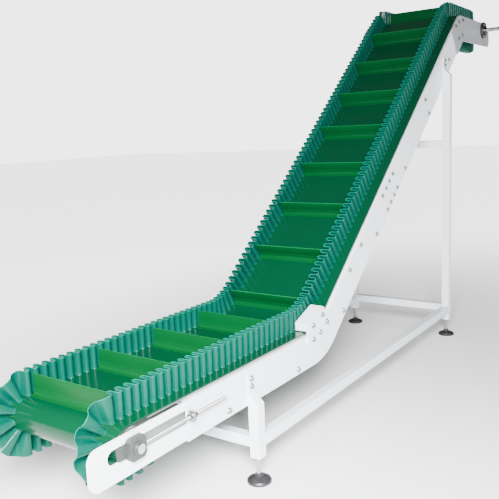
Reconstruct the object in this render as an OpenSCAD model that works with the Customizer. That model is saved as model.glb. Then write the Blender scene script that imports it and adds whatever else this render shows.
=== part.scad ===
// Bend-incline belt conveyor section: low horizontal infeed, steep incline and
// short horizontal head, with a cleated belt between corrugated sidewalls.
// Millimetres. +X is the carrying direction, +Z is up, the drive side is -Y.

/* [Overall] */
// Outside width over the two side frames
frame_width = 668; // [480:2:1100]
// Length of the straight infeed, tail shaft to the frame's lower corner
infeed_length = 1357; // [900:1:2400]
// Rise from the infeed belt level to the head belt level
lift = 1711; // [900:1:2400]
// Incline of the middle section in degrees
incline_angle = 39; // [25:1:50]
// Length of the straight head, upper belt corner to the drive shaft
head_length = 544; // [420:1:900]
// Height of the infeed belt's carrying face above the floor
infeed_height = 531; // [480:1:800]

/* [Belt] */
// Belt width
belt_width = 640; // [460:2:1000]
// Belt thickness
belt_t = 4; // [3:0.5:8]
// Height of the corrugated sidewalls
wall_h = 100; // [60:5:120]
// Width taken up by one sidewall's corrugation
wall_w = 50; // [40:1:60]
// Flat margin of belt outside each sidewall
margin_w = 55; // [30:1:70]
// Height of the cleats
cleat_h = 85; // [50:1:95]
// Wanted spacing of the cleats along the belt
cleat_pitch = 336; // [252:42:504]
// Radius of the belt where the infeed bends upward
bend_r = 366; // [300:1:500]

/* [Drums] */
// Tail drum diameter
tail_drum_d = 133; // [108:1:168]
// Head drum diameter
head_drum_d = 108; // [89:1:133]
// Tail shaft diameter
tail_shaft_d = 35; // [20:1:45]
// Drive shaft diameter
drive_shaft_d = 30; // [20:1:35]
// Free length of the drive shaft outside its bearing
stub_length = 108; // [60:1:200]

/* [Frame] */
// Depth of the infeed side frames
infeed_depth = 162; // [150:1:200]
// Depth of the incline side frames
incline_depth = 168; // [150:1:200]
// Sheet thickness of the side frames
sheet = 3; // [2:0.5:5]
// Width of the folded flanges of the side frames
flange = 28; // [20:1:30]
// Outside width of the square leg and cross tubes
tube = 50; // [40:1:60]
// Wall thickness of the square tubes
tube_wall = 3; // [2:0.5:5]
// Distance between the front and rear legs
leg_span = 2410; // [1800:1:2700]
// Foot pad diameter
pad_d = 108; // [60:1:130]
// Height of the leg ends above the floor
foot_h = 115; // [85:1:140]

/* [Hidden] */

g = 0.3;                      // seating gap between separate pieces
run = 0.05;                   // radial running clearance of a shaft in its bore
ca = cos(incline_angle);
sa = sin(incline_angle);
ta = sa / ca;
yf = frame_width / 2;         // outer face of the side frames
yo = yf + g;                  // inner face of what is bolted outside them
yi = yf - sheet;              // inner face of the side frame webs
yb = belt_width / 2;          // belt edge
yw = yb - margin_w;           // outer face of a sidewall
yc = yw - wall_w;             // inner face of a sidewall

// Levels of the belt's carrying face, and the setting-out lines 6 below it on the
// infeed and 35 below it on the incline. Holes and brackets are placed from these lines.
zb = infeed_height;
zh = zb + lift;
drop1 = 6;
drop2 = 35;
drop3 = 4;
zf = zb - drop1;
xv = infeed_length - 684;     // where the setting-out lines meet
V1 = [xv, zf];
T = [ca, sa];                 // up the incline
N = [-sa, ca];                // square to the incline, away from the floor
function inc(a, p) = V1 + T * a + N * p;   // a up the incline, p above its line
function meet(z, p) = [xv + (z - zf - p / ca) / ta, z];   // level z on the line at p

// top and bottom edges of the side frames, measured from the setting-out lines
top_drop = 16;                // frame top below the belt's carrying face
e1 = drop1 - top_drop;
e2 = drop2 - top_drop;
zi = zf + e1 - infeed_depth;
pb = e2 - incline_depth;
xb1 = xv + (zb - zf - drop2 / ca) / ta;    // belt corners on the carrying face
xb2 = xb1 + lift / ta;
inc_len = lift / sa;

rt = tail_drum_d / 2 + g;     // radius of the belt's inner face on each drum
rh = head_drum_d / 2 + g;
xt = -684;
zt = zb - belt_t - rt;
xh = xb2 + head_length;
zd = zh - belt_t - rh;

// The belt's inner face is one closed path of straights and fillets.
ret = 108;                    // return run below the carrying face
rz1 = zb - ret + belt_t;      // inner face of the return run, infeed
rz2 = zh - 2 * (rh + belt_t) + belt_t;
travel = 60;                  // take-up travel inward from the tensioned position
knuckle_r = 44.5;
rb_r = 44.5;
rw_r = 32;
// the return run climbs from under the tail drum to its rails, between two fillets
climb_x = [50, 160];
climb = [climb_x[1] - climb_x[0], rz1 - zt + rt];
climb_r = min(300, 0.48 * norm(climb) / tan(atan2(climb[1], climb[0]) / 2));
// incline lines of the inner face, upper and return
function up_x(z, p) = xb1 + (z - zb - p / ca) / ta;
P = [
  [xt - rt, zb - belt_t],
  [up_x(zb - belt_t, -belt_t), zb - belt_t],
  [up_x(zh - belt_t, -belt_t), zh - belt_t],
  [xh + rh, zh - belt_t],
  [xh + rh, rz2],
  [up_x(rz2, belt_t - ret), rz2],
  [up_x(rz1, belt_t - ret), rz1],
  [xt + travel + climb_x[1], rz1],
  [xt + travel + climb_x[0], zt - rt],
  [xt - rt, zt - rt]
];
R = [rt, bend_r + belt_t, knuckle_r + g, rh, rh, 200, rb_r + g, climb_r, climb_r, rt];
K = 12;
n = len(P);
function unit(v) = v / norm(v);
function left(v) = [-v[1], v[0]];
function ang(v) = atan2(v[1], v[0]);
function crn(i) = let (
    a = unit(P[i] - P[(i + n - 1) % n]), b = unit(P[(i + 1) % n] - P[i]),
    turn = asin(a[0] * b[1] - a[1] * b[0]),
    t = abs(turn) < 89.9 && a * b < 0 ? 180 - abs(turn) : abs(turn),
    s = turn < 0 ? -1 : 1,
    c = P[i] - a * R[i] * tan(t / 2) + s * left(a) * R[i])
  [c, ang(-s * left(a)), s * t, R[i], s];
// path nodes: point and outward normal, outward being the carrying face
pn = [for (i = [0:n - 1]) let (q = crn(i)) for (k = [0:K])
    let (f = q[1] + q[2] * k / K, u = [cos(f), sin(f)]) [q[0] + u * q[3], -q[4] * u]];
m = len(pn);
step = [for (i = [0:m - 1]) norm(pn[(i + 1) % m][0] - pn[i][0])];
cum = [for (i = 0, s = 0; i <= m; s = s + (i < m ? step[i] : 0), i = i + 1) s];
loop = cum[m];
tab = [for (j = [0:3]) [for (i = [0:m]) let (q = pn[i % m])
    [cum[i], j == 0 ? q[0][0] : j == 1 ? q[0][1] : j == 2 ? q[1][0] : q[1][1]]]];
function look(s) = [lookup(s, tab[0]), lookup(s, tab[1])];
function nrm(s) = unit([lookup(s, tab[2]), lookup(s, tab[3])]);
function at(s, d) = look(s) + nrm(s) * d;
// strip of the path from s0 to s1 between offsets d0 and d1
function span(s0, s1) = concat([s0], [for (c = cum) if (c > s0 + 1 && c < s1 - 1) c], [s1]);
function strip(s0, s1, d0, d1) = let (q = span(s0, s1), k = len(q)) concat(
    [for (s = q) at(s, d0)], [for (i = [k - 1:-1:0]) at(q[i], d1)]);
function ring(d) = [for (q = pn) q[0] + q[1] * d];
// distances along the path of the ends of each fillet
function s_in(i) = cum[i * (K + 1)];
function s_out(i) = cum[i * (K + 1) + K];
mid = function (i) (s_in(i) + s_out(i)) / 2;

n_cleats = round(loop / cleat_pitch);
pitch = loop / n_cleats;
s_first = s_out(0) + 34;

// Extrudes an XZ outline between two Y positions.
module slab(a, b) {
  translate([0, max(a, b), 0]) rotate([90, 0, 0])
    linear_extrude(height = abs(b - a)) children();
}
module rod(p, r, a, b) {
  translate([p[0], max(a, b), p[1]]) rotate([90, 0, 0])
    cylinder(r = r, h = abs(b - a), $fn = 64);
}
module hexbolt(p, y, s, af = 16, h = 8) {
  // hex head with its washer, standing out from y in the direction s
  translate([p[0], y, p[1]]) rotate([s < 0 ? 90 : -90, 0, 0]) {
    cylinder(d = af * 1.7, h = 1.6, $fn = 32);
    translate([0, 0, 1.6]) cylinder(d = af / cos(30), h = h, $fn = 6);
  }
}
module box(x0, x1, y0, y1, z0, z1) {
  translate([min(x0, x1), min(y0, y1), min(z0, z1)])
    cube([abs(x1 - x0), abs(y1 - y0), abs(z1 - z0)]);
}
function fil(a, b, c, r, k = 12) = let (
    u = unit(b - a), v = unit(c - b), turn = asin(u[0] * v[1] - u[1] * v[0]),
    s = turn < 0 ? -1 : 1, q = b - u * r * tan(abs(turn) / 2) + s * left(u) * r,
    f0 = ang(-s * left(u)))
  [for (i = [0:k]) q + r * [cos(f0 + turn * i / k), sin(f0 + turn * i / k)]];

// belt ------------------------------------------------------------------
module belt_base() {
  color([0.10, 0.45, 0.30]) difference() {
    slab(-yb, yb) polygon(ring(belt_t));
    slab(-yb - 1, yb + 1) polygon(ring(0));
  }
}
module sidewall(s) {
  color([0.10, 0.55, 0.46]) difference() {
    slab(s * yc, s * yw) polygon(ring(belt_t + wall_h));
    slab(s * (yc - 1), s * (yw + 1)) polygon(ring(belt_t + g));
  }
}
module cleats() {
  w = yc - 2;
  color([0.15, 0.50, 0.20]) for (i = [0:n_cleats - 1]) {
    s = (s_first + i * pitch) % loop;
    p = at(s, belt_t + 0.6);
    u = nrm(s);
    translate([p[0], 0, p[1]]) rotate([0, -ang(u) + 90, 0])
      slab(-w, w) polygon([[-20, 0], [20, 0], [20, 3], [8, 6], [3.5, 14], [3, cleat_h - 0.6],
        [-3, cleat_h - 0.6], [-3.5, 14], [-8, 6], [-20, 3]]);
  }
}

// side frames -----------------------------------------------------------
x_end = -394;                 // infeed channels stop here, the tail plates carry on
a_spl = 1029;                 // splice of the incline channels, along the incline
xq = meet(zi, pb)[0];
// edge of the lower side frame: level at z, then up the incline at p
function edge(z, p, r) = concat([[x_end, z]],
    fil([x_end, z], meet(z, p), inc(a_spl, p), r), [inc(a_spl - g / 2, p)]);
function low_top(d) = edge(zf + e1 - d, e2 - d, 60);
function low_bot(d) = edge(zi + d, pb + d, 340 - d);
function rev(v) = [for (i = [len(v) - 1:-1:0]) v[i]];
module side_frame_lower(s) {
  color([0.84, 0.87, 0.90]) union() {
    slab(s * yi, s * yf) polygon(concat(low_top(0), rev(low_bot(0))));
    slab(s * (yf - flange), s * (yi + 0.01)) polygon(concat(low_top(0), rev(low_top(sheet))));
    slab(s * (yf - flange), s * (yi + 0.01)) polygon(concat(low_bot(0), rev(low_bot(sheet))));
  }
}
a_top = inc_len - 145;        // incline channels stop here, under the head plates
function bar(a0, a1, p0, p1) = [inc(a0, p0), inc(a1, p0), inc(a1, p1), inc(a0, p1)];
module side_frame_upper(s) {
  color([0.84, 0.87, 0.90]) union() {
    slab(s * yi, s * yf) polygon(bar(a_spl + g / 2, a_top, e2, pb));
    slab(s * (yf - flange), s * (yi + 0.01)) polygon(bar(a_spl + g / 2, a_top, e2, e2 - sheet));
    slab(s * (yf - flange), s * (yi + 0.01)) polygon(bar(a_spl + g / 2, a_top, pb + sheet, pb));
  }
}
module splice_plates() {
  color([0.80, 0.83, 0.86]) for (s = [-1, 1])
    slab(s * (yi - g), s * (yi - g - 5))
      polygon(bar(a_spl - 130, a_spl + 130, e2 - sheet - 1, pb + sheet + 1));
}

// head ------------------------------------------------------------------
hp = 8;                       // head plate thickness
zht = zh - drop3;
zhb = zht - 168;
x_nose = xh + 173;
xk = meet(zht, 50)[0];
xkb = meet(zhb, pb)[0];
a_hp = inc_len - 240;
bearing_od = drive_shaft_d * 4;
bearing_bolts = bearing_od * 0.365;   // radius of the bolt circle
bearing_t = 16;               // flange thickness
module head_plate(s) {
  y = s * (yo + hp);
  color([0.62, 0.64, 0.67]) difference() {
    slab(s * yo, y) polygon(concat(
      [inc(a_hp, pb), inc(a_hp, e2), inc(a_hp + 56, 50)],
      fil(inc(a_hp + 56, 50), [xk, zht], [xh, zht], 130),
      [[xh + 60, zht], [x_nose - 14, zht - 50], [x_nose, zht - 128], [x_nose - 4, zhb + 22],
       [x_nose - 30, zhb], [xkb, zhb]]));
    rod([xh, zd], drive_shaft_d / 2 + 6, s * (yf - 5), s * (yo + hp + 5));
  }
}
module head_bearing(s) {
  y0 = yo + hp + g;
  br = bearing_od / 2;
  color([0.07, 0.07, 0.08]) difference() {
    translate([xh, s * y0, zd]) rotate([-s * 90, 0, 0])
      rotate_extrude($fn = 96) polygon([[0, 0], [br, 0], [br, 13], [br - 3, bearing_t],
        [br * 0.46, bearing_t], [br * 0.43, 27], [br * 0.38, 28], [br * 0.36, 31], [0, 31]]);
    rod([xh, zd], drive_shaft_d / 2 + run, s * (y0 - 5), s * (y0 + 40));
  }
}
module drum(x, z, r, sr, half) {
  // tube shell closed by two end discs that are bored for the shaft
  translate([x, 0, z]) rotate([90, 0, 0]) difference() {
    cylinder(r = r, h = 2 * half, center = true, $fn = 128);
    cylinder(r = r - 5, h = 2 * half - 24, center = true, $fn = 128);
    cylinder(r = sr + run, h = 2 * half + 2, center = true, $fn = 64);
  }
}
drum_half = yb + 8;
module head_drum() { color([0.30, 0.31, 0.33]) drum(xh, zd, head_drum_d / 2, drive_shaft_d / 2, drum_half); }
y_stub = yo + hp + g + 31 + stub_length;
module drive_shaft() {
  // the free end is turned down by one millimetre all round and keyed
  ys = y_stub - stub_length + 3;
  color([0.70, 0.71, 0.73]) difference() {
    union() {
      rod([xh, zd], drive_shaft_d / 2, -ys, yo + hp + g + 36);
      rod([xh, zd], drive_shaft_d / 2 - 1, -y_stub, -ys + 1);
    }
    box(xh - 4, xh + 4, -y_stub - 1, -y_stub + 50, zd + drive_shaft_d / 2 - 4, zd + drive_shaft_d);
  }
}

// tail ------------------------------------------------------------------
tp = 8;                       // tail plate thickness
xp0 = xt - 206;
xp1 = xt + 316;
zp0 = zb - 163;
zp1 = zb - 12;
slot_h = 52;
module tail_plate(s) {
  color([0.93, 0.94, 0.95]) difference() {
    slab(s * yo, s * (yo + tp)) polygon(concat(
      fil([xp1, zp1], [xp0, zp1], [xp0, zp0], 46, 10),
      fil([xp0, zp1], [xp0, zp0], [xp1, zp0], 46, 10),
      [[xp1 - 22, zp0], [xp1, zp0 + 26], [xp1, zp1 - 30], [xp1 - 18, zp1]]));
    slab(s * (yo - 5), s * (yo + tp + 5)) union() {
      translate([xt - 96, zt]) circle(d = slot_h, $fn = 64);
      translate([xt - 96, zt - slot_h / 2]) square([376, slot_h]);
    }
  }
}
bk_y = yo + tp + g;           // outer face of the tail plate, plus the gap
bk_t = 24;                    // block thickness outside the plate
rod_y = bk_y + 14;            // axis of the take-up rods
module takeup_block(s) {
  // cast block guided in the slot, with flanges outside the plate
  color([0.45, 0.47, 0.48]) difference() {
    union() {
      slab(s * bk_y, s * (bk_y + bk_t)) polygon([[xt - 30, zt - 40], [xt + 26, zt - 40],
        [xt + 38, zt - 28], [xt + 38, zt + 28], [xt + 28, zt + 40], [xt - 30, zt + 40],
        [xt - 40, zt + 30], [xt - 40, zt - 30]]);
      rod([xt, zt], 26, s * (bk_y + bk_t - 1), s * (bk_y + bk_t + 4));
      slab(s * (yo + 0.5), s * (bk_y + 1))
        polygon([[xt - 76, zt - 25], [xt + 36, zt - 25], [xt + 36, zt + 25], [xt - 76, zt + 25]]);
      slab(s * bk_y, s * (bk_y + 6))
        polygon([[xt - 76, zt - 24], [xt - 36, zt - 24], [xt - 36, zt + 24], [xt - 76, zt + 24]]);
    }
    rod([xt, zt], tail_shaft_d / 2 + run, s * (yo - 10), s * (bk_y + 60));
    translate([xt + 20, s * rod_y, zt]) rotate([0, 90, 0])
      cylinder(d = 16 + 2 * run, h = 60, $fn = 48);
  }
}
module takeup_rods() {
  color([0.72, 0.73, 0.74]) for (s = [-1, 1])
    translate([xt + 24, s * rod_y, zt]) rotate([0, 90, 0])
      cylinder(d = 16, h = 480, $fn = 48);
}
module takeup_lugs() {
  // fixed lug with a nut on each side at the inner end of each slot
  color([0.80, 0.81, 0.82]) for (s = [-1, 1]) difference() {
    union() {
      box(xp1 - 26, xp1 - 14, s * bk_y, s * (rod_y + 14), zt - 20, zt + 20);
      translate([xp1 - 38, s * rod_y, zt]) rotate([0, 90, 0]) rotate([0, 0, 30])
        cylinder(d = 24 / cos(30), h = 36, $fn = 6);
    }
    translate([xp1 - 60, s * rod_y, zt]) rotate([0, 90, 0])
      cylinder(d = 16 + 2 * run, h = 100, $fn = 48);
  }
}
module tail_drum() { color([0.55, 0.56, 0.58]) drum(xt, zt, tail_drum_d / 2, tail_shaft_d / 2, drum_half); }
module tail_shaft() { color([0.70, 0.71, 0.73]) rod([xt, zt], tail_shaft_d / 2, -bk_y - 37, bk_y + 37); }

// supports under the belt -------------------------------------------------
bed_t = 4.7;
s_b0 = s_out(0) + travel + 35;
s_j1 = s_out(1) + 20;
s_j2 = s_in(2) - 20;
module bed(s0, s1) {
  slab(-yb - 2, yb + 2) polygon(strip(s0, s1, -g, -g - bed_t));
}
module bed_infeed() { color([0.75, 0.77, 0.79]) bed(s_b0, s_j1); }
module bed_incline() { color([0.75, 0.77, 0.79]) bed(s_j1 + g, s_j2); }
module bed_head() { color([0.75, 0.77, 0.79]) bed(s_out(2) + 25, s_in(3) - 35); }
under = belt_t + 2 * g + bed_t;   // stringers below the belt's carrying face
top_in = drop2 - under;
module bed_stringers() {
  color([0.78, 0.80, 0.82]) {
    for (y = [-205, 0, 205]) slab(y - 15, y + 15)
      polygon(bar(190, inc_len - 125, top_in, e2 - sheet));
    for (y = [-205, 205]) box(xb2 + 72, xh - 80, y - 15, y + 15, zh - under, zh - 38);
    for (y = [-205, 0, 205]) box(-350, 350, y - 15, y + 15, zb - under, zf + e1 - sheet);
  }
}
in_cross = [202, 560, 1250, 1800, 2300];
low_cross = [-330, -40, 330];
module cross_members() {
  color([0.78, 0.80, 0.82]) {
    for (x = low_cross) box(x - 20, x + 20, -yi + g, yi - g, zf + e1 - sheet - g, zf + e1 - sheet - 40);
    for (a = in_cross) slab(-yi + g, yi - g)
      polygon(bar(a - 20, a + 20, e2 - sheet - g, e2 - sheet - 40));
    box(xb2 + 80, xb2 + 120, -yo + g, yo - g, zh - 38 - g, zh - 78);
    box(xh - 180, xh - 140, -yo + g, yo - g, zh - 38 - g, zh - 78);
  }
}
// angle rails that carry the margins of the return run
module rail_bit(s, a, b, up, dn, y = yi - g) {
  slab(s * (yw + 4), s * y) polygon([a, b, b - up * 6, a - up * 6]);
  slab(s * (y - 5), s * y) polygon([a, b, b - up * dn, a - up * dn]);
}
rp = -ret + drop2 - g;        // top of the incline rails
rail_h = min(46, rp - pb - sheet - 4);   // their depth, clear of the bottom flange
module return_rail(s) {
  z1 = zb - ret - g;
  z2 = zh - 2 * (rh + belt_t) - g;
  color([0.80, 0.83, 0.86]) {
    rail_bit(s, [x_end + 5, z1], [xq - 90, z1], [0, 1], z1 - zi - sheet - 4);
    rail_bit(s, inc(150, rp), inc(a_spl - 134, rp), N, rail_h);
    rail_bit(s, inc(a_spl + 134, rp), inc(a_top - 150, rp), N, rail_h);
    rail_bit(s, [xkb + 130, z2], [xh - 60, z2], [0, 1], 44, yf);
  }
}

// bend: guards, wheels, rollers --------------------------------------------
cb = crn(1)[0];               // centre of the infeed bend's arc
hw_r = 19;
hk = 8.2;                     // half the angle between the two wheels
hw = function (k) cb + (bend_r - hw_r - g) * [sin(incline_angle / 2 + k), -cos(incline_angle / 2 + k)];
yw0 = yw + 5;
yw1 = yb - 4;
module hold_wheel(s, k) {
  color([0.15, 0.15, 0.16]) difference() {
    rod(hw(k), hw_r, s * yw0, s * yw1);
    rod(hw(k), 6 + run, s * (yw0 - 1), s * (yw1 + 1));
  }
}
cr = crn(5)[0];               // centre of the return run's upper bend
rw = cr + (200 - belt_t - rw_r - g) * [-sin(incline_angle / 2), cos(incline_angle / 2)];
module return_wheel(s) {
  color([0.15, 0.15, 0.16]) difference() {
    rod(rw, rw_r, s * yw0, s * yw1);
    rod(rw, 8 + run, s * (yw0 - 1), s * (yw1 + 1));
  }
}
module wheel_axles() {
  color([0.70, 0.71, 0.73]) for (s = [-1, 1]) {
    for (k = [-hk, hk]) rod(hw(k), 6, s * (yw0 + 1), s * (yf - g));
    rod(rw, 8, s * (yw0 + 1), s * yf);
  }
}
function dir(f) = [cos(f), sin(f)];
bx = [xb1, zb];
function bxp(u, v) = bx + dir(incline_angle / 2) * u + dir(incline_angle / 2 + 90) * v;
module wheel_guard(s) {
  // folded cover over the wheels, open towards the belt, bored for their axles
  color([0.93, 0.95, 0.97]) difference() {
    slab(s * (yw + 2), s * (yf - 2 * g)) polygon([bxp(-98, 40), bxp(-88, 78), bxp(74, 78), bxp(88, 38)]);
    slab(s * (yw + 4), s * (yf - 3)) polygon([bxp(-95, 20), bxp(-86, 76), bxp(72, 76), bxp(88, 20)]);
    for (k = [-hk, hk]) rod(hw(k), 6 + run, s * (yf - 10), s * (yf + 10));
  }
}
br_pts = [[508, 575], [508, 472], [556, 450], [640, 468], [735, 520], [716, 580], [672, 627],
  [646, 620]];
br_bolts = [[702, 542], [631, 507], [564, 488]];
sh = [xv - 673, zb - 531];    // the bracket follows the bend
module bend_bracket(s) {
  color([0.86, 0.89, 0.92]) difference() {
    slab(s * yo, s * (yo + 5)) translate(sh) polygon(br_pts);
    rod(sh + [687, 503], 4.5, s * (yf - 5), s * (yo + 10));
    slab(s * (yf - 5), s * (yo + 10)) translate(sh) polygon([[562, 457], [570, 457], [570, 468], [562, 468]]);
  }
}
roll_half = yb - 2;
module roller(p, r, sr) {
  // tube roller with hollow end pins
  translate([p[0], 0, p[1]]) rotate([90, 0, 0]) difference() {
    union() {
      cylinder(r = r, h = 2 * roll_half, center = true, $fn = 96);
      cylinder(r = sr, h = 2 * roll_half + 24, center = true, $fn = 64);
    }
    cylinder(r = r - 4, h = 2 * roll_half - 20, center = true, $fn = 96);
    cylinder(r = sr - 6, h = 2 * roll_half + 40, center = true, $fn = 32);
  }
}
kc = crn(2)[0];
rc = crn(6)[0];
module knuckle_roller() { color([0.55, 0.56, 0.58]) roller(kc, knuckle_r, 12.5); }
module return_bend_roller() { color([0.55, 0.56, 0.58]) roller(rc, rb_r, 10); }
module hanger(p, r, sr, s, y) {
  difference() {
    slab(s * (roll_half + 4), s * y) translate(p) circle(r = r, $fn = 64);
    rod(p, sr + run, s * roll_half, s * (yf + 5));
  }
}
module roller_hangers() {
  color([0.35, 0.36, 0.38]) for (s = [-1, 1]) {
    hanger(kc, 30, 12.5, s, yf);
    hanger(rc, 26, 10, s, yi - g);
  }
}

// legs ---------------------------------------------------------------------
yl = yo + tube;               // outer face of the legs
x_leg = [0, leg_span];
function leg_top(x) = x < 1 ? zf - 117
    : zf + (x + tube / 2 - xv) * ta - 67 / ca;
module leg(s, x) {
  z1 = leg_top(x);
  color([0.88, 0.90, 0.92]) difference() {
    box(x, x + tube, s * yo, s * yl, foot_h, z1);
    box(x + tube_wall, x + tube - tube_wall, s * (yo + tube_wall), s * (yl - tube_wall),
      foot_h + 6, z1 - tube - 8);
    translate([x - 1, s * yo, z1]) rotate([90 + 0, 0, 90])
      linear_extrude(height = tube + 2) polygon([[0, 0], [s * (tube + 9), -(tube + 9)],
        [s * (tube + 9), 9], [0, 9]]);
    translate([x + tube / 2, s * (yo + tube / 2), foot_h - 1]) cylinder(r = 8 + run, h = 9, $fn = 48);
  }
}
module leg_tongues() {
  color([0.88, 0.90, 0.92]) for (s = [-1, 1]) {
    z1 = leg_top(0);
    z2 = leg_top(leg_span);
    slab(s * yo, s * (yo + 6)) polygon([[3, z1 + g], [43, z1 + g], [43, z1 + 76], [36, z1 + 82],
      [10, z1 + 82], [3, z1 + 76]]);
    slab(s * yo, s * (yo + 6)) translate([leg_span, z2]) polygon([[2, g], [46, g], [128, 34],
      [128, 76], [98, 82], [2, 62]]);
  }
}
z_cross = 212;
z_mid = 1382;
module beam(x0, x1, y0, y1, z0, z1) {
  // closed square tube
  w = tube_wall;
  difference() {
    box(x0, x1, y0, y1, z0, z1);
    translate([w, w, w]) box(x0, x1 - 2 * w, min(y0, y1), max(y0, y1) - 2 * w, z0, z1 - 2 * w);
  }
}
module cross_tube(x, z) { color([0.85, 0.87, 0.90]) beam(x, x + tube, -yf, yf, z - tube, z); }
module side_brace(s) {
  color([0.85, 0.87, 0.90]) beam(tube + g, leg_span - g, s * yo, s * yl, z_cross - tube, z_cross);
}
module foot(s, x) {
  // pad, ball neck and threaded stud in one piece
  color([0.10, 0.10, 0.11]) translate([x + tube / 2, s * (yo + tube / 2), 0])
    rotate_extrude($fn = 96) polygon([[0, 0], [pad_d / 2, 0], [pad_d / 2, 9], [pad_d / 2 - 4, 15],
      [pad_d / 2 - 18, 21], [17, 28], [15, 38], [9, 42], [8, 48], [8, foot_h + 45], [0, foot_h + 45]]);
}

// fasteners ------------------------------------------------------------------
in_rail = [190, 738, 1282, 1803];
module bolts_frame() {
  color([0.75, 0.76, 0.77]) for (s = [-1, 1]) {
    y = s * (yf + g);
    for (x = [-131, 421]) hexbolt([x, zi + 26], y, s);
    for (a = in_rail) hexbolt(inc(a, -120), y, s);
    for (a = [380, 560, 1806]) hexbolt(inc(a, -15), y, s);
    for (k = [-92, -30, 30, 92]) for (q = [-15, -127]) hexbolt(inc(a_spl + k, q), y, s);
    for (p = br_bolts) hexbolt(sh + p, s * (yo + 5 + g), s);
    for (k = [-hk, hk]) hexbolt(hw(k), s * (yo + 5 + g), s);
    yy = s * (yo + hp + g);
    for (p = [[80, 24], [153, 10], [233, -29], [163, -104], [85, -78]])
      hexbolt(inc(a_hp + p[0], p[1]), yy, s);
    for (k = [0:3])
      hexbolt([xh, zd] + bearing_bolts * dir(k * 90), yy + s * (bearing_t + g), s, 14, 9);
  }
}
module bolts_legs() {
  color([0.75, 0.76, 0.77]) for (s = [-1, 1]) {
    for (x = x_leg) translate([x + tube / 2, s * (yo + tube / 2), foot_h - g - 14]) difference() {
      cylinder(d = 24 / cos(30), h = 14, $fn = 6);
      translate([0, 0, -1]) cylinder(r = 8 + run, h = 16, $fn = 48);
    }
    y = s * (yo + 6 + g);
    for (z = [26, 60]) hexbolt([23, leg_top(0) + z], y, s);
    for (p = [[25, 47], [25, 18], [104, 58]]) hexbolt([leg_span + p[0], leg_top(leg_span) + p[1]], y, s);
  }
}

// origin: bottom centre of everything
x_c = (xp0 + x_nose) / 2;
y_c = ((yo + tube / 2 + pad_d / 2) - y_stub) / 2;
translate([-x_c, -y_c, 0]) {
  belt_base();
  sidewall(-1);  // sidewall_right
  sidewall(1);  // sidewall_left
  cleats();
  side_frame_lower(-1);  // side_frame_lower_right
  side_frame_lower(1);  // side_frame_lower_left
  side_frame_upper(-1);  // side_frame_upper_right
  side_frame_upper(1);  // side_frame_upper_left
  head_plate(-1);  // head_plate_right
  head_plate(1);  // head_plate_left
  tail_plate(-1);  // tail_plate_right
  tail_plate(1);  // tail_plate_left
  splice_plates();
  cross_members();
  bed_infeed();
  bed_incline();
  bed_head();
  bed_stringers();
  return_rail(-1);  // return_rail_right
  return_rail(1);  // return_rail_left
  leg(-1, 0);  // leg_front_right
  leg(1, 0);  // leg_front_left
  leg(-1, leg_span);  // leg_rear_right
  leg(1, leg_span);  // leg_rear_left
  leg_tongues();
  cross_tube(0, z_cross);  // cross_tube_front
  cross_tube(leg_span, z_cross + 14);  // cross_tube_rear_low
  cross_tube(leg_span, z_mid);  // cross_tube_rear_mid
  side_brace(-1);  // side_brace_right
  side_brace(1);  // side_brace_left
  bend_bracket(-1);  // bend_bracket_right
  bend_bracket(1);  // bend_bracket_left
  wheel_guard(-1);  // wheel_guard_right
  wheel_guard(1);  // wheel_guard_left
  hold_wheel(-1, -hk);  // hold_wheel_right_a
  hold_wheel(-1, hk);  // hold_wheel_right_b
  hold_wheel(1, -hk);  // hold_wheel_left_a
  hold_wheel(1, hk);  // hold_wheel_left_b
  wheel_axles();
  head_bearing(-1);  // head_bearing_right
  head_bearing(1);  // head_bearing_left
  head_drum();
  drive_shaft();
  knuckle_roller();
  return_bend_roller();
  roller_hangers();
  return_wheel(-1);  // return_wheel_right
  return_wheel(1);  // return_wheel_left
  takeup_block(-1);  // takeup_block_right
  takeup_block(1);  // takeup_block_left
  takeup_rods();
  takeup_lugs();
  tail_drum();
  tail_shaft();
  foot(-1, 0);  // foot_front_right
  foot(1, 0);  // foot_front_left
  foot(-1, leg_span);  // foot_rear_right
  foot(1, leg_span);  // foot_rear_left
  bolts_frame();
  bolts_legs();
}
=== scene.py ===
# %% [markdown]
# # A bend-incline belt conveyor section
#
# The frame of the real machine is cut and folded steel, so those parts arrive as exact solids
# and only get a finish here. The belt is another matter: its side walls are welded sheet that
# runs in tight waves, and its cleats are moulded. They are built below, on the belt's own path.
# The first cell loads the solids and keeps the size of the whole machine.

# %% Load the solids
import math

import bmesh
import bpy
import numpy as np
from mathutils import Matrix, Vector


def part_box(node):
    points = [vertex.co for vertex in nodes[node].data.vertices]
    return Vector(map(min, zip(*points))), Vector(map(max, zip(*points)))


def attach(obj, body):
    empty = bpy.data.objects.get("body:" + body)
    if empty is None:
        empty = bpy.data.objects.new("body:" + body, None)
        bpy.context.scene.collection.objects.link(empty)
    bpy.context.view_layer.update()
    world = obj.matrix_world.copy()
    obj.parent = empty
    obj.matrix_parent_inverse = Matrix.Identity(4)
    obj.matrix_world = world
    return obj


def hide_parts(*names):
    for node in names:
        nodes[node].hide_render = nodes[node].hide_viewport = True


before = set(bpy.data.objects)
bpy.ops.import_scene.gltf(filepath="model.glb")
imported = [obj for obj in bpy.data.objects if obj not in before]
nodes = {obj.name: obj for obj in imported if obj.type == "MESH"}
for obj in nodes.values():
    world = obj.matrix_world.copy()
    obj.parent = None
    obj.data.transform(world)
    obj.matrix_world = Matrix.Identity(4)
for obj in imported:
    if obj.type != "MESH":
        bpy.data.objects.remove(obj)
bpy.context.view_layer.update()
MM = 0.001

# %% [markdown]
# ## Camera
#
# The viewer stands in front of the tail end at eye height, about one and a half metres up, and
# looks along the machine. A camera's local axes are right, up and backwards, so the three
# directions go straight into the columns of its matrix.

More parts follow.
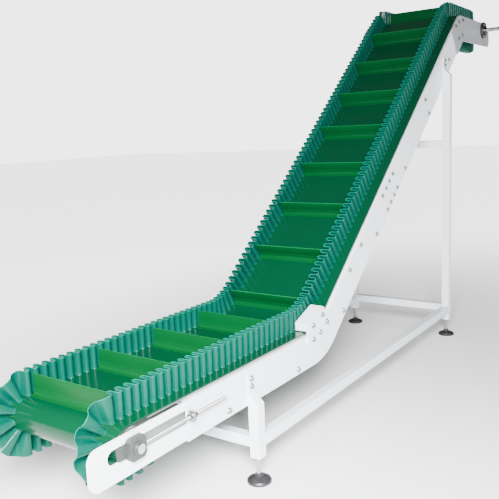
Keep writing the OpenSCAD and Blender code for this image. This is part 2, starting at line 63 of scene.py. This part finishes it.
# %% Camera
EYE = Vector((-3.49505, -1.90825, 1.502))
RIGHT = Vector((0.57015122, -0.82033818, -0.04441685))
UP = Vector((0.16586246, 0.06198867, 0.98419868))
BACK = RIGHT.cross(UP)
SENSOR, LENS = 36, 48.98  # both in mm
FAR = 60
cam_data = bpy.data.cameras.new("camera")
cam_data.sensor_width = SENSOR
cam_data.lens = LENS
camera = bpy.data.objects.new("camera", cam_data)
bpy.context.scene.collection.objects.link(camera)
turn = Matrix((RIGHT, UP, BACK)).transposed().to_4x4()
camera.matrix_world = Matrix.Translation(EYE) @ turn
cam_data.clip_end = FAR
bpy.context.scene.camera = camera
print("camera", tuple(round(c, 2) for c in camera.location))

# %% [markdown]
# ## Writing shaders as sums
#
# A material is a graph of nodes. Linking them one by one hides the idea, so one small class
# holds a socket and lets ordinary Python operators add the Math nodes. `0.4 - zinc * 0.1` then
# reads as what it does. Colours go through a Mix node, because a Math node would turn them grey.


# %% A socket that does arithmetic
class Val:
    """One output socket of a material's node tree."""

    def __init__(self, tree, socket):
        self.tree, self.socket = tree, socket

    def node(self, kind, settings=None, out=0, **inputs):
        """Adds a node: settings first, then sockets by name, or by number as s0, s1."""
        made = self.tree.nodes.new(kind)
        for key, value in (settings or {}).items():
            setattr(made, key, value)
        for key, value in inputs.items():
            numbered = key[1:].isdigit()
            slot = made.inputs[int(key[1:]) if numbered else key.replace("_", " ")]
            if isinstance(value, Val):
                self.tree.links.new(value.socket, slot)
            else:
                slot.default_value = value
        return Val(self.tree, made.outputs[out])

    def maths(self, operation, a, b):
        return self.node("ShaderNodeMath", {"operation": operation}, s0=a, s1=b)

    def __add__(self, other):
        return self.maths("ADD", self, other)

    def __radd__(self, other):
        return self.maths("ADD", other, self)

    def __sub__(self, other):
        return self.maths("SUBTRACT", self, other)

    def __rsub__(self, other):
        return self.maths("SUBTRACT", other, self)

    def __mul__(self, other):
        return self.maths("MULTIPLY", self, other)

    def __rmul__(self, other):
        return self.maths("MULTIPLY", other, self)

    def __gt__(self, other):
        return self.maths("GREATER_THAN", self, other)

    def mix(self, a, b):
        """Colour a where this value is 0, colour b where it is 1."""
        return self.node("ShaderNodeMix", {"data_type": "RGBA"}, out=2, s0=self, s6=a, s7=b)


print("helper ready:", Val.__name__)

# %% [markdown]
# ## Finishes
#
# Every finish starts from the same shader. What differs over a surface is small: a little
# unevenness in colour, in gloss and in the normal. Noise in the solid's own coordinates gives
# that without any unwrapping, and it travels with the piece when a joint moves.


# %% Finish helper
def rgb(r, g, b):
    return (r, g, b, 1.0)


def finish(name, base, rough, metal=0.0, specular=0.5, coat=0.0):
    """A material with constants on its shader; returns it with its coordinate and shader."""
    mat = bpy.data.materials.new(name)
    mat.use_nodes = True
    tree = mat.node_tree
    shader = tree.nodes["Principled BSDF"]
    shader.inputs["Base Color"].default_value = base
    shader.inputs["Roughness"].default_value = rough
    shader.inputs["Metallic"].default_value = metal
    shader.inputs["Specular IOR Level"].default_value = specular
    shader.inputs["Coat Weight"].default_value = coat
    start = Val(tree, None)
    place = start.node("ShaderNodeTexCoord", out=3)
    return mat, place, shader


def feed(shader, socket, value):
    """Links a value to one of the shader's sockets."""
    value.tree.links.new(value.socket, shader.inputs[socket])


print("basic finish ready")

# %% [markdown]
# ### Unevenness
#
# No coat is the same all over. One noise darkens the colour and moves the gloss together, as
# handling does, and a finer noise lifts the normal for grain or orange peel. The colour's noise
# can be stretched, which gives turned steel its rings.


# %% Uneven finish
def noise(place, scale, detail=3.0, stretch=None):
    """Noise between 0 and 1; stretch scales the coordinates axis by axis."""
    where = place
    if stretch:
        where = place.node("ShaderNodeMapping", Vector=place, Scale=stretch)
    return where.node("ShaderNodeTexNoise", Vector=where, Scale=scale, Detail=detail)


def uneven(mat, place, shader, tone, gloss, bump, scale, stretch=None):
    """Small unevenness: tone is how far the colour darkens, gloss how far roughness moves."""
    grain = noise(place, scale, 4.0, stretch)
    base = shader.inputs["Base Color"].default_value[:]
    dark = rgb(*[c * (1 - tone) for c in base[:3]])
    feed(shader, "Base Color", grain.mix(dark, base))
    rough = shader.inputs["Roughness"].default_value
    feed(shader, "Roughness", grain * (2 * gloss) + (rough - gloss))
    if bump:
        fine = noise(place, scale * 9, 2.0)
        lift = fine.node("ShaderNodeBump", Height=fine, Strength=0.35, Distance=bump)
        feed(shader, "Normal", lift)
    return mat


def plain(name, base, rough, tone=0.12, gloss=0.06, bump=0.0, scale=9.0, stretch=None, **kw):
    """A whole finish in one call, for a piece that is the same all over."""
    mat, place, shader = finish(name, base, rough, **kw)
    return uneven(mat, place, shader, tone, gloss, bump, scale, stretch)


print("uneven finish ready")

# %% [markdown]
# ### The belt's greens
#
# The cover is a glossy plastic that mirrors the walls standing on it. Cover, side walls and
# cleats are three different compounds: the walls lean towards teal, the cleats towards leaf
# green. The walls' rims and the cleats' tips are painted paler, a painted highlight along their
# top edges.

# %% Belt finishes
cover_green = plain(
    "cover_green", rgb(0.0, 0.038, 0.015), 0.18, tone=0.08, gloss=0.03, bump=0.0001,
    specular=0.35)
wall_teal = plain(
    "wall_teal", rgb(0.0, 0.056, 0.038), 0.28, tone=0.10, bump=0.0003, specular=0.14)
cleat_green = plain(
    "cleat_green", rgb(0.0, 0.050, 0.012), 0.30, tone=0.10, bump=0.0003, specular=0.14)
# A paler green for the walls' rim: a painted highlight along their top edge.
painted_rim_highlight = plain("painted_rim_highlight", rgb(0.0, 0.16, 0.11), 0.50, tone=0.15, specular=0.3)
print("belt finishes:", 4)

# %% [markdown]
# ### Paint, plate and bare metal
#
# The frame is white powder coat: nearly no colour, a soft gloss and a fine orange peel. The head
# plates are a grey coat. Zinc and turned steel are metals, told apart by tone and roughness.

# %% Frame finishes
white_coat = plain(
    "white_coat", rgb(0.76, 0.80, 0.85), 0.36, tone=0.04, bump=0.0002, scale=14.0, coat=0.15)
grey_coat = plain(
    "grey_coat", rgb(0.27, 0.285, 0.30), 0.42, tone=0.08, bump=0.0002, scale=14.0)
zinc_sheet = plain(
    "zinc_sheet", rgb(0.56, 0.58, 0.60), 0.38, metal=0.9, tone=0.25, scale=30.0)
zinc_plate = plain("zinc_plate", rgb(0.42, 0.42, 0.43), 0.30, metal=1.0, tone=0.25, scale=40.0)
turned = plain(
    "turned", rgb(0.60, 0.60, 0.61), 0.22, metal=1.0, tone=0.15, scale=60.0,
    stretch=(1.0, 0.1, 1.0))
drum_steel = plain("drum_steel", rgb(0.42, 0.43, 0.44), 0.34, metal=1.0, tone=0.2, scale=30.0)
casting = plain(
    "casting", rgb(0.055, 0.062, 0.060), 0.50, metal=0.3, tone=0.25, bump=0.0012, scale=35.0)
black_casting = plain(
    "black_casting", rgb(0.012, 0.012, 0.013), 0.34, tone=0.3, bump=0.0008, scale=35.0)
black_plastic = plain("black_plastic", rgb(0.018, 0.018, 0.019), 0.45, tone=0.3)
print("frame finishes:", 9)

# %% [markdown]
# ### Threads
#
# A thread is a fine wave along its rod. Modelled turn by turn it would cost more faces than the
# whole frame, so it is a wave in the normal and in the colour: painted shade in the valleys and
# painted highlights on the crests. The levelling foot is one solid, black below its neck and zinc
# above, so its colour changes with height.


# %% Threaded finishes
THREAD_SCALE = 157.0  # bands 2 mm apart, the pitch of an M16 thread
# Painted shade for the thread's valleys and a painted highlight for its crests.
PAINTED_VALLEY_SHADE, PAINTED_CREST_HIGHLIGHT = rgb(0.20, 0.20, 0.21), rgb(0.66, 0.66, 0.67)


def thread(place, axis):
    """Bands across the axis: 0 in a valley, 1 on a crest, for bump and painted thread shade."""
    return place.node(
        "ShaderNodeTexWave", {"wave_type": "BANDS", "bands_direction": axis},
        Vector=place, Scale=THREAD_SCALE, Distortion=0.0)


rod_thread, at_rod, rod_shader = finish("rod_thread", rgb(0.62, 0.62, 0.63), 0.34, metal=1.0)
ridge_bump_and_shade = thread(at_rod, "X")
# The rod's colour: painted shade in the valleys, painted highlight on the crests.
feed(rod_shader, "Base Color", ridge_bump_and_shade.mix(PAINTED_VALLEY_SHADE, PAINTED_CREST_HIGHLIGHT))
cut = ridge_bump_and_shade.node("ShaderNodeBump", Height=ridge_bump_and_shade, Strength=0.8, Distance=1 * MM)
feed(rod_shader, "Normal", cut)

foot_mat, at_foot, foot_shader = finish("foot_mat", rgb(0.02, 0.02, 0.02), 0.4)
NECK = 0.040  # height of the neck above the floor, m
height = at_foot.node("ShaderNodeSeparateXYZ", out=2, Vector=at_foot)
zinc_part = height > NECK
# The stud's bands set its colour: painted shade in the valleys, painted highlight on the crests.
ring = thread(at_foot, "Z")
stud_with_painted_shade = ring.mix(rgb(0.22, 0.22, 0.23), rgb(0.66, 0.66, 0.67))
black = noise(at_foot, 40.0).mix(rgb(0.010, 0.010, 0.011), rgb(0.024, 0.024, 0.026))
feed(foot_shader, "Base Color", zinc_part.mix(black, stud_with_painted_shade))
feed(foot_shader, "Metallic", zinc_part * 1.0)
feed(foot_shader, "Roughness", 0.42 - zinc_part * 0.1)
print("thread finishes ready, zinc above", NECK, "m")

# %% [markdown]
# ## Finishes on the solids
#
# A solid whose shape is right keeps its mesh and only changes material. A table of names is
# easier to check than a line for each of the sixty pieces; a star stands for any ending.

# %% Dress the solids
DRESS = {
    white_coat: "side_frame_lower_* side_frame_upper_* tail_plate_* bend_bracket_* "
    "wheel_guard_* leg_front_* leg_rear_* leg_tongues cross_tube_* side_brace_* cross_members",
    grey_coat: "head_plate_*",
    zinc_sheet: "splice_plates bed_infeed bed_incline bed_head bed_stringers return_rail_*",
    zinc_plate: "takeup_lugs bolts_frame bolts_legs",
    rod_thread: "takeup_rods",
    turned: "drive_shaft tail_shaft wheel_axles",
    drum_steel: "head_drum tail_drum knuckle_roller return_bend_roller",
    casting: "takeup_block_* roller_hangers",
    black_casting: "head_bearing_*",
    black_plastic: "hold_wheel_* return_wheel_*",
    foot_mat: "foot_front_* foot_rear_*",
}


def named(pattern):
    """The solids whose name fits the pattern."""
    stem = pattern.rstrip("*")
    return [n for n in sorted(nodes) if (n.startswith(stem) if pattern != stem else n == stem)]


dressed = 0
for mat, patterns in DRESS.items():
    for pattern in patterns.split():
        for name in named(pattern):
            nodes[name].data.materials.clear()
            nodes[name].data.materials.append(mat)
            dressed += 1
print("dressed", dressed, "of", len(nodes))

# %% [markdown]
# ## The belt's path
#
# The belt is a closed loop of straights and arcs over the tail drum, the infeed bend, the
# knuckle, the head drum and the return rollers. Each corner is a point and a radius, and an arc
# is fitted between the straights. The drums give the ends; the rest follows from the slope.

# %% Path sizes
SLOPE = math.radians(39)
BELT = 4 * MM  # thickness
DEEP = 108 * MM  # from the carrying face down to the return run's outer face
LEVEL_HEAD = 544 * MM  # from the upper bend to the head drum's axis
GAP = 0.3 * MM  # air between the belt and what it runs over


def drum(name):
    """Centre of a drum's solid, and the radius on which the belt's inner face lies."""
    low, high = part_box(name)
    centre = (low + high) / 2
    return centre, (high.z - low.z) / 2 + GAP


tail, R_TAIL = drum("tail_drum")
head, R_HEAD = drum("head_drum")
MID_Y = head.y
low_level = tail.z + R_TAIL + BELT
high_level = head.z + R_HEAD + BELT
x_top = head.x - LEVEL_HEAD
x_bend = x_top - (high_level - low_level) / math.tan(SLOPE)
print("carrying levels", round(low_level, 4), round(high_level, 4), "bend at", round(x_bend, 4))


# %% [markdown]
# ### Corners of the path
#
# The return run lies parallel to the carrying run and a fixed depth under it, so most of its
# corners are found on the slope's own lines. Near the tail it comes down again in two gentle
# bends, from under the carrying run to the bottom of the tail drum.


# %% Path corners
INFEED_R = 366 * MM
ROLLER_R = 44.5 * MM
UPPER_RETURN_R = 200 * MM
CLIMB_R = 300 * MM
CLIMB_START, CLIMB_END = 110 * MM, 220 * MM  # from the tail drum's axis


def on_slope(z, below):
    """X of the sloping line that lies `below` under the carrying face, at height z."""
    return x_bend + (z - low_level + below / math.cos(SLOPE)) / math.tan(SLOPE)


inner = low_level - BELT
inner_top = high_level - BELT
back_low = low_level - DEEP + BELT
back_high = high_level - 2 * R_HEAD - BELT
under = tail.z - R_TAIL
CORNERS = [
    (tail.x - R_TAIL, inner, R_TAIL),
    (on_slope(inner, BELT), inner, INFEED_R + BELT),
    (on_slope(inner_top, BELT), inner_top, ROLLER_R + GAP),
    (head.x + R_HEAD, inner_top, R_HEAD),
    (head.x + R_HEAD, back_high, R_HEAD),
    (on_slope(back_high, DEEP - BELT), back_high, UPPER_RETURN_R),
    (on_slope(back_low, DEEP - BELT), back_low, ROLLER_R + GAP),
    (tail.x + CLIMB_END, back_low, CLIMB_R),
    (tail.x + CLIMB_START, under, CLIMB_R),
    (tail.x - R_TAIL, under, R_TAIL),
]
print("corners", len(CORNERS))


# %% [markdown]
# ### Straights and arcs
#
# A curve object could be used here, but then the distance along it, which sets where each wave
# and cleat goes, would have to be measured afterwards. Arcs and lines in closed form give it
# exactly, with the direction that points out of the belt at every place.


# %% Straights and arcs
def arcs(corners):
    """Centre, radius, first angle, turn and its side for the arc at each corner."""
    found = []
    for i, (x, z, r) in enumerate(corners):
        here = np.array((x, z))
        before = here - np.array(corners[i - 1][:2])
        after = np.array(corners[(i + 1) % len(corners)][:2]) - here
        a, b = before / np.linalg.norm(before), after / np.linalg.norm(after)
        bend = math.atan2(a[0] * b[1] - a[1] * b[0], a @ b)
        side = 1 if bend > 0 else -1
        left = np.array((-a[1], a[0]))
        centre = here - a * r * math.tan(abs(bend) / 2) + side * left * r
        first = math.atan2(*(-side * left)[::-1])
        found.append((centre, r, first, bend, side))
    return found


ARCS = arcs(CORNERS)
print("arcs", [round(math.degrees(bend)) for _, _, _, bend, _ in ARCS], "degrees")

# %% [markdown]
# ### The loop
#
# Arcs and the lines between them are put in one list, in the order in which the belt runs. The
# running sum of their lengths says which of them a distance along the belt falls on.

# %% The loop
pieces_of_path = []
for i, (c, r, first, bend, side) in enumerate(ARCS):
    pieces_of_path.append(("arc", c, r, first, bend, side, abs(bend) * r))
    end = c + r * np.array((math.cos(first + bend), math.sin(first + bend)))
    c2, r2, first2 = ARCS[(i + 1) % len(ARCS)][:3]
    begin = c2 + r2 * np.array((math.cos(first2), math.sin(first2)))
    pieces_of_path.append(("line", end, begin, float(np.linalg.norm(begin - end))))
START = np.cumsum([0.0] + [p[-1] for p in pieces_of_path])
LOOP = float(START[-1])
print("loop length", round(LOOP, 4), "m")

# %% [markdown]
# ### A place on the belt
#
# Everything on the belt is placed by three numbers: how far along, how high above the inner
# face and how far to the side. That makes a wall or a cleat as easy to place on a drum as on a
# straight.


# %% Place on the belt
def path_at(s):
    """Point and outward normal of the belt's inner face at the distance s along the loop."""
    s = s % LOOP
    k = int(np.searchsorted(START, s, side="right") - 1)
    part, d = pieces_of_path[min(k, len(pieces_of_path) - 1)], s - START[k]
    if part[0] == "arc":
        _, c, r, first, _, side, _ = part
        f = first + side * d / r
        u = np.array((math.cos(f), math.sin(f)))
        return c + r * u, -side * u
    _, a, b, length = part
    t = (b - a) / max(length, 1e-9)
    return a + t * d, np.array((-t[1], t[0]))


def spot(s, up, y):
    """A point `up` above the belt's inner face, y to the side of its middle."""
    p, u = path_at(s)
    q = p + u * up
    return (q[0], MID_Y + y, q[1])


print("start", [round(c, 3) for c in spot(0, 0, 0)])

# %% [markdown]
# ## Turning points into pieces
#
# Every belt piece is a list of points and faces. One helper makes the mesh, gives each face its
# finish, shades it, says which body it rides on and hides the plain solid that it stands for.


# %% Piece helper
def piece(name, points, faces, finishes, picks, smooth, node):
    """picks holds each face's finish; edges sharper than smooth, in degrees, stay crisp."""
    mesh = bpy.data.meshes.new(name)
    mesh.from_pydata(points, [], faces)
    for mat in finishes:
        mesh.materials.append(mat)
    mesh.polygons.foreach_set("material_index", np.asarray(picks, dtype=np.int32))
    work = bmesh.new()
    work.from_mesh(mesh)
    bmesh.ops.recalc_face_normals(work, faces=work.faces)
    work.to_mesh(mesh)
    work.free()
    mesh.polygons.foreach_set("use_smooth", [True] * len(mesh.polygons))
    mesh.set_sharp_from_angle(angle=math.radians(smooth))
    made = bpy.data.objects.new(name, mesh)
    bpy.context.scene.collection.objects.link(made)
    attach(made, "frame")
    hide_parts(node)
    print(name, len(points), "points", len(faces), "faces")


def tube_faces(columns, rows, closed=True):
    """Quads between columns of a grid whose rows run once round the section."""
    last = columns if closed else columns - 1
    return [
        (c * rows + r, c * rows + (r + 1) % rows,
         (c + 1) % columns * rows + (r + 1) % rows, (c + 1) % columns * rows + r)
        for c in range(last) for r in range(rows)]


print("piece helpers ready")

# %% [markdown]
# ## Belt cover
#
# The cover is a 4 mm band, 640 mm wide. It only bends one way, so it needs points where it
# curves and none along its straights. Its underside is bare fabric, paler than the cover.

# %% Belt cover
HALF = 320 * MM  # half of its width
ARC_STEPS, LINE_STEPS = 20, 2
fabric = plain("fabric", rgb(0.42, 0.50, 0.42), 0.8, tone=0.15, scale=60.0)
stations = []
for k, part in enumerate(pieces_of_path):
    count = ARC_STEPS if part[0] == "arc" else LINE_STEPS
    stations += [START[k] + part[-1] * j / count for j in range(count)]
points = []
for s in stations:
    points += [spot(s, up, y) for up, y in ((0, -HALF), (0, HALF), (BELT, HALF), (BELT, -HALF))]
CORNERS_OF_BAND = 4
cover_faces = tube_faces(len(stations), CORNERS_OF_BAND)
underside = [1 if i % CORNERS_OF_BAND == 0 else 0 for i in range(len(cover_faces))]
piece("belt_cover", points, cover_faces, [cover_green, fabric], underside, 40,
      "belt_base")

# %% [markdown]
# ## Corrugated side walls
#
# A side wall is a thin sheet that stands on the belt in a row of tight U bends, so that it can
# open like a fan where the belt goes round a drum. On the straights a wave is 42 mm long and
# 50 mm wide. The sheet has a fixed length, so where the top is stretched the wave gets flatter.
# That rule alone gives the fan at both ends: the width shrinks as the square root says.

# %% One wave
CLEATS = 28
WAVES = 8 * CLEATS
WAVE = LOOP / WAVES
WALL_T = 2.6 * MM  # the sheet's thickness
WALL_MID = 240 * MM  # from the belt's middle to the wall's
REACH = 25 * MM - WALL_T / 2  # from the wall's middle to the sheet's, at the widest
BEND = WAVE / 4  # radius of a U
FLANK = REACH - BEND  # straight part between the wall's middle and a U
SHEET = 4 * FLANK + 2 * math.pi * BEND  # sheet used up by one wave
ROUND = 7  # steps round a U


def wave_points():
    """(along, across, along normal, across normal, share of sheet) through one wave."""
    run = []
    for end in (1, -1):
        at = WAVE / 4 if end > 0 else 3 * WAVE / 4
        for j in range(ROUND + 1):
            f = math.pi * j / ROUND
            along = at - BEND * math.cos(f)
            run.append((along, end * (FLANK + BEND * math.sin(f)), -math.cos(f) * end,
                        math.sin(f)))
    lengths = [0.0]
    for a, b in zip(run, run[1:]):
        lengths.append(lengths[-1] + math.hypot(b[0] - a[0], b[1] - a[1]))
    total = lengths[-1] + 2 * FLANK
    return [(*p, (length + FLANK) / total) for p, length in zip(run, lengths)]


ONE = wave_points()
print("points in a wave", len(ONE), "sheet per wave", round(SHEET, 4))


# %% [markdown]
# ### The two walls
#
# The wave is repeated round the loop at nine heights. At each height the stretch of the path
# says how long a wave is there, and the fixed sheet length says how wide. Where the sheet is
# stretched it also runs more evenly, as a shallow wave does. The last band is the cut rim, with
# a paler colour as a painted highlight along the top edge.


# %% Heights and stretch
HEIGHTS = [0.0, 0.0028, 0.018, 0.036, 0.054, 0.072, 0.086, 0.0985, 0.1]
WELD = 1.6 * MM  # how far the foot spreads each way
FLATTEST = 0.22  # least share of the sheet's length that still goes into the wave


def longer(s, up):
    """How much longer than its foot the wall is at this height, over one wave's length."""
    a, b = spot(s - WAVE / 2, BELT + up, 0), spot(s + WAVE / 2, BELT + up, 0)
    return math.dist(a, b) / WAVE


print("rim's stretch on the tail drum", round(longer(START[1] / 2, HEIGHTS[-1]), 2))

# %% [markdown]
# ### Laying the waves
#
# A wave is laid down point by point, foot to rim on one face of the sheet and back down on the
# other. The columns close into one long tube round the loop, so the sheet is a closed solid.


# %% Lay the waves
def wall(name, side, node):
    """One side wall; side is -1 for the right of the machine and 1 for the left."""
    points = []
    rows = len(HEIGHTS)
    for w in range(WAVES):
        centre = (w + 0.5) * WAVE
        pull = [longer(centre - WAVE / 2 + q * WAVE, h) for q in (0, 1) for h in HEIGHTS]
        for along, across, n_along, n_across, share in ONE:
            low, high = [], []
            for k, h in enumerate(HEIGHTS):
                lam = pull[k] * (1 - along / WAVE) + pull[k + rows] * along / WAVE
                flat = max(SHEET ** 2 - (lam * WAVE) ** 2, (FLATTEST * SHEET) ** 2)
                width = min(math.sqrt(flat / (SHEET ** 2 - WAVE ** 2)), 1.0)
                even = (1 - width) * share * WAVE + width * along
                half = WALL_T / 2 + (WELD if k == 0 else 0.0)
                for keep, sign in ((low, 1), (high, -1)):
                    s = w * WAVE + even + sign * half * n_along / lam
                    y = across * width + sign * half * n_across
                    keep.append(spot(s, BELT + h, side * (WALL_MID + y)))
            points += low + high[::-1]
    columns = WAVES * len(ONE)
    faces = tube_faces(columns, 2 * rows)
    # The rim's faces take the paler green, a painted highlight along the top edge.
    rim = (rows - 2, rows - 1, rows)
    picks = [1 if i % (2 * rows) in rim else 0 for i in range(len(faces))]
    piece(name, points, faces, [wall_teal, painted_rim_highlight], picks, 60, node)


wall("corrugated_wall_right", -1, "sidewall_right")
wall("corrugated_wall_left", 1, "sidewall_left")

# %% [markdown]
# ## Cleats
#
# A cleat is a moulded T: a thin foot that bends with the belt, a fillet, a step where the
# moulding gets thinner, and a straight blade. The foot follows the path. The blade stays square
# to the belt at its own middle, so it doesn't open on the drums.

# %% Cleats
# half thickness and height of the section's rows, in mm
BLADE = [(30, 0.1), (30, 1.2), (23, 2.6), (14, 3.8), (9.5, 7), (6.6, 12), (5.2, 20), (4.9, 25),
         (3.5, 26.4), (3.1, 50), (2.9, 83.2), (2.1, 84.6), (0.8, 85)]
FOOT_TOP = 4  # rows below this height bend with the belt, mm
CLEAT_HALF = 213.5 * MM
LAND = 1.5 * MM  # keeps the shading of the end faces crisp
FIRST = START[1] + 34 * MM  # the first cleat stands a little past the tail drum


def cleat_section(s, y):
    """One closed ring of points round the cleat's section, at y across the belt."""
    p, u = path_at(s)
    t = np.array((u[1], -u[0]))
    ring = []
    for sign, run in ((-1, BLADE), (1, BLADE[::-1])):
        for along, up in run:
            if up < FOOT_TOP:
                ring.append(spot(s + sign * along * MM, BELT + up * MM, y))
            else:
                q = p + t * sign * along * MM + u * (BELT + up * MM)
                ring.append((q[0], MID_Y + y, q[1]))
    return ring


print("points round a cleat", len(cleat_section(FIRST, 0.0)))

# %% [markdown]
# ### All the cleats
#
# The cleats are spaced evenly round the whole loop, carrying run and return run alike, and all
# go into one mesh. Each has five rings across the belt; the outer two leave a small end land.

# %% Set the cleats
points, faces, picks = [], [], []
size = 2 * len(BLADE)
# Rows at the blade's tip, which take a paler green as a painted highlight.
top = (len(BLADE) - 2, len(BLADE) - 1, len(BLADE))
ends = [-CLEAT_HALF, -CLEAT_HALF + LAND, 0.0, CLEAT_HALF - LAND, CLEAT_HALF]
for i in range(CLEATS):
    s = FIRST + i * LOOP / CLEATS
    base = len(points)
    for y in ends:
        points += cleat_section(s, y)
    grid = tube_faces(len(ends), size, closed=False)
    faces += [tuple(base + v for v in f) for f in grid]
    picks += [1 if k % size in top else 0 for k in range(len(grid))]
    faces.append(tuple(base + k for k in range(size)))
    faces.append(tuple(base + size * (len(ends) - 1) + k for k in range(size))[::-1])
    picks += [0, 0]
# A paler green on the blade's tip: a painted highlight along the top edge.
painted_cleat_tip_highlight = plain("painted_cleat_tip_highlight", rgb(0.0, 0.13, 0.04), 0.4, tone=0.1, specular=0.3)
piece("moulded_cleats", points, faces, [cleat_green, painted_cleat_tip_highlight], picks, 30, "cleats")

# %% [markdown]
# ## Softened edges
#
# Folded sheet and drawn tube have no knife edges. A copy of each such solid is cleaned of its
# extra triangles and bevelled by a millimetre or more, so that its edges catch the light.


# %% Bevelled copies
FLAT = math.radians(1.0)  # faces this close to one plane are joined
CREASE = math.radians(35)  # edges sharper than this are bevelled


def soften(name, width, finish_used):
    """A copy of a solid with its creases rounded to the width, in mm."""
    mesh = nodes[name].data.copy()
    mesh.name = name + "_soft"
    work = bmesh.new()
    work.from_mesh(mesh)
    bmesh.ops.remove_doubles(work, verts=work.verts, dist=2e-6)
    bmesh.ops.dissolve_limit(work, angle_limit=FLAT, verts=work.verts, edges=work.edges)
    work.to_mesh(mesh)
    work.free()
    mesh.materials.clear()
    mesh.materials.append(finish_used)
    made = bpy.data.objects.new(name + "_soft", mesh)
    bpy.context.scene.collection.objects.link(made)
    bevel = made.modifiers.new("edge", "BEVEL")
    bevel.width = width * MM
    bevel.segments = 2
    bevel.limit_method = "ANGLE"
    bevel.angle_limit = CREASE
    bevel.harden_normals = True
    mesh.polygons.foreach_set("use_smooth", [True] * len(mesh.polygons))
    mesh.set_sharp_from_angle(angle=CREASE)
    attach(made, "frame")
    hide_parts(name)


print("bevel helper ready")

# %% [markdown]
# ### Which solids are softened
#
# A drawn tube has a large corner radius and a folded sheet a small one, so the table is sorted
# by radius. Round pieces and small hardware keep their exact solids.

# %% Soften tubes and sheets
# corner radius in mm, and the solids that have it
PLATE_EDGE = 1.2
SOFT = {
    4.0: "leg_front_* leg_rear_* cross_tube_* side_brace_*",
    PLATE_EDGE: "side_frame_lower_* side_frame_upper_* tail_plate_* bend_bracket_* wheel_guard_* "
    "leg_tongues",
}
softened = 0
for width, patterns in SOFT.items():
    for pattern in patterns.split():
        for name in named(pattern):
            soften(name, width, white_coat)
            softened += 1
for name in named("head_plate_*"):
    soften(name, PLATE_EDGE, grey_coat)
    softened += 1
print("softened", softened)

# %% [markdown]
# ## Floor and light
#
# The machine stands on a white sweep, as in a studio. A white surface that is only lit from
# above turns grey before the machine is bright enough, so the floor also glows: nothing under
# the machine, where its shadow falls, and more with the distance from its middle. The glow is
# measured on a squeezed copy of the floor's coordinates, which makes its dark patch as long as
# the machine.

# %% Floor
FLOOR_HALF = 40
GLOW = 3.0
GLOW_FROM, GLOW_TO = 0.3, 4.0  # m from the middle, on the squeezed floor
SQUEEZE = (0.62, 1.0, 1.0)
floor_mesh = bpy.data.meshes.new("floor")
square = [(-FLOOR_HALF, -FLOOR_HALF, 0), (FLOOR_HALF, -FLOOR_HALF, 0),
          (FLOOR_HALF, FLOOR_HALF, 0), (-FLOOR_HALF, FLOOR_HALF, 0)]
floor_mesh.from_pydata(square, [], [(0, 1, 2, 3)])
floor = bpy.data.objects.new("floor", floor_mesh)
bpy.context.scene.collection.objects.link(floor)
floor_mat, at_floor, floor_shader = finish(
    "floor_mat", rgb(0.86, 0.86, 0.86), 0.9, specular=0.1)
flat = at_floor.node("ShaderNodeMapping", Vector=at_floor, Scale=SQUEEZE)
away = flat.node("ShaderNodeVectorMath", {"operation": "LENGTH"}, out=1, s0=flat)
glow = away.node("ShaderNodeMapRange", {"interpolation_type": "SMOOTHSTEP"},
                 Value=away, From_Min=GLOW_FROM, From_Max=GLOW_TO)
feed(floor_shader, "Emission Color", glow.mix(rgb(0, 0, 0), rgb(1, 1, 1)))
floor_shader.inputs["Emission Strength"].default_value = GLOW
floor_mesh.materials.append(floor_mat)
print("floor glows from", GLOW_FROM, "m to", GLOW_TO, "m")

# %% [markdown]
# ### Lights and sky
#
# One soft light with a narrow beam stands beside the tail end and does nearly all the work, so
# the lit greens fall off towards the head. A weak, wide fill on the near side keeps the frame
# readable. The sky is split in two: what the viewer sees of it is almost white, while the light
# that it casts is weak, because a bright sky would wash out the belt's deep colour.


# %% Lights
def softbox(name, place, target, size, power, spread=180):
    """A square light, size in m and power in W; spread is its beam's angle in degrees."""
    data = bpy.data.lights.new(name, "AREA")
    data.shape, data.size, data.energy = "SQUARE", size, power
    data.spread = math.radians(spread)
    made = bpy.data.objects.new(name, data)
    made.location = place
    aim = Vector(target) - Vector(place)
    made.rotation_euler = aim.to_track_quat("-Z", "Y").to_euler()
    bpy.context.scene.collection.objects.link(made)


SKY_LIGHT = 0.10
SKY_SEEN = 4.0
softbox("tail_light", (-4.1, -2.2, 2.5), (-1.5, 0.0, 0.3), 1.5, 430, spread=96)
softbox("side_fill", (0.5, -5.5, 3.2), (0.2, 0.0, 0.6), 3.0, 45)
world = bpy.data.worlds.new("sky")
bpy.context.scene.world = world
world.use_nodes = True
sky = Val(world.node_tree, None)
seen = sky.node("ShaderNodeLightPath")
background = world.node_tree.nodes["Background"]
background.inputs["Color"].default_value = rgb(1.0, 1.0, 1.0)
feed(background, "Strength", seen * (SKY_SEEN - SKY_LIGHT) + SKY_LIGHT)
print("lights:", 2, "and the sky")
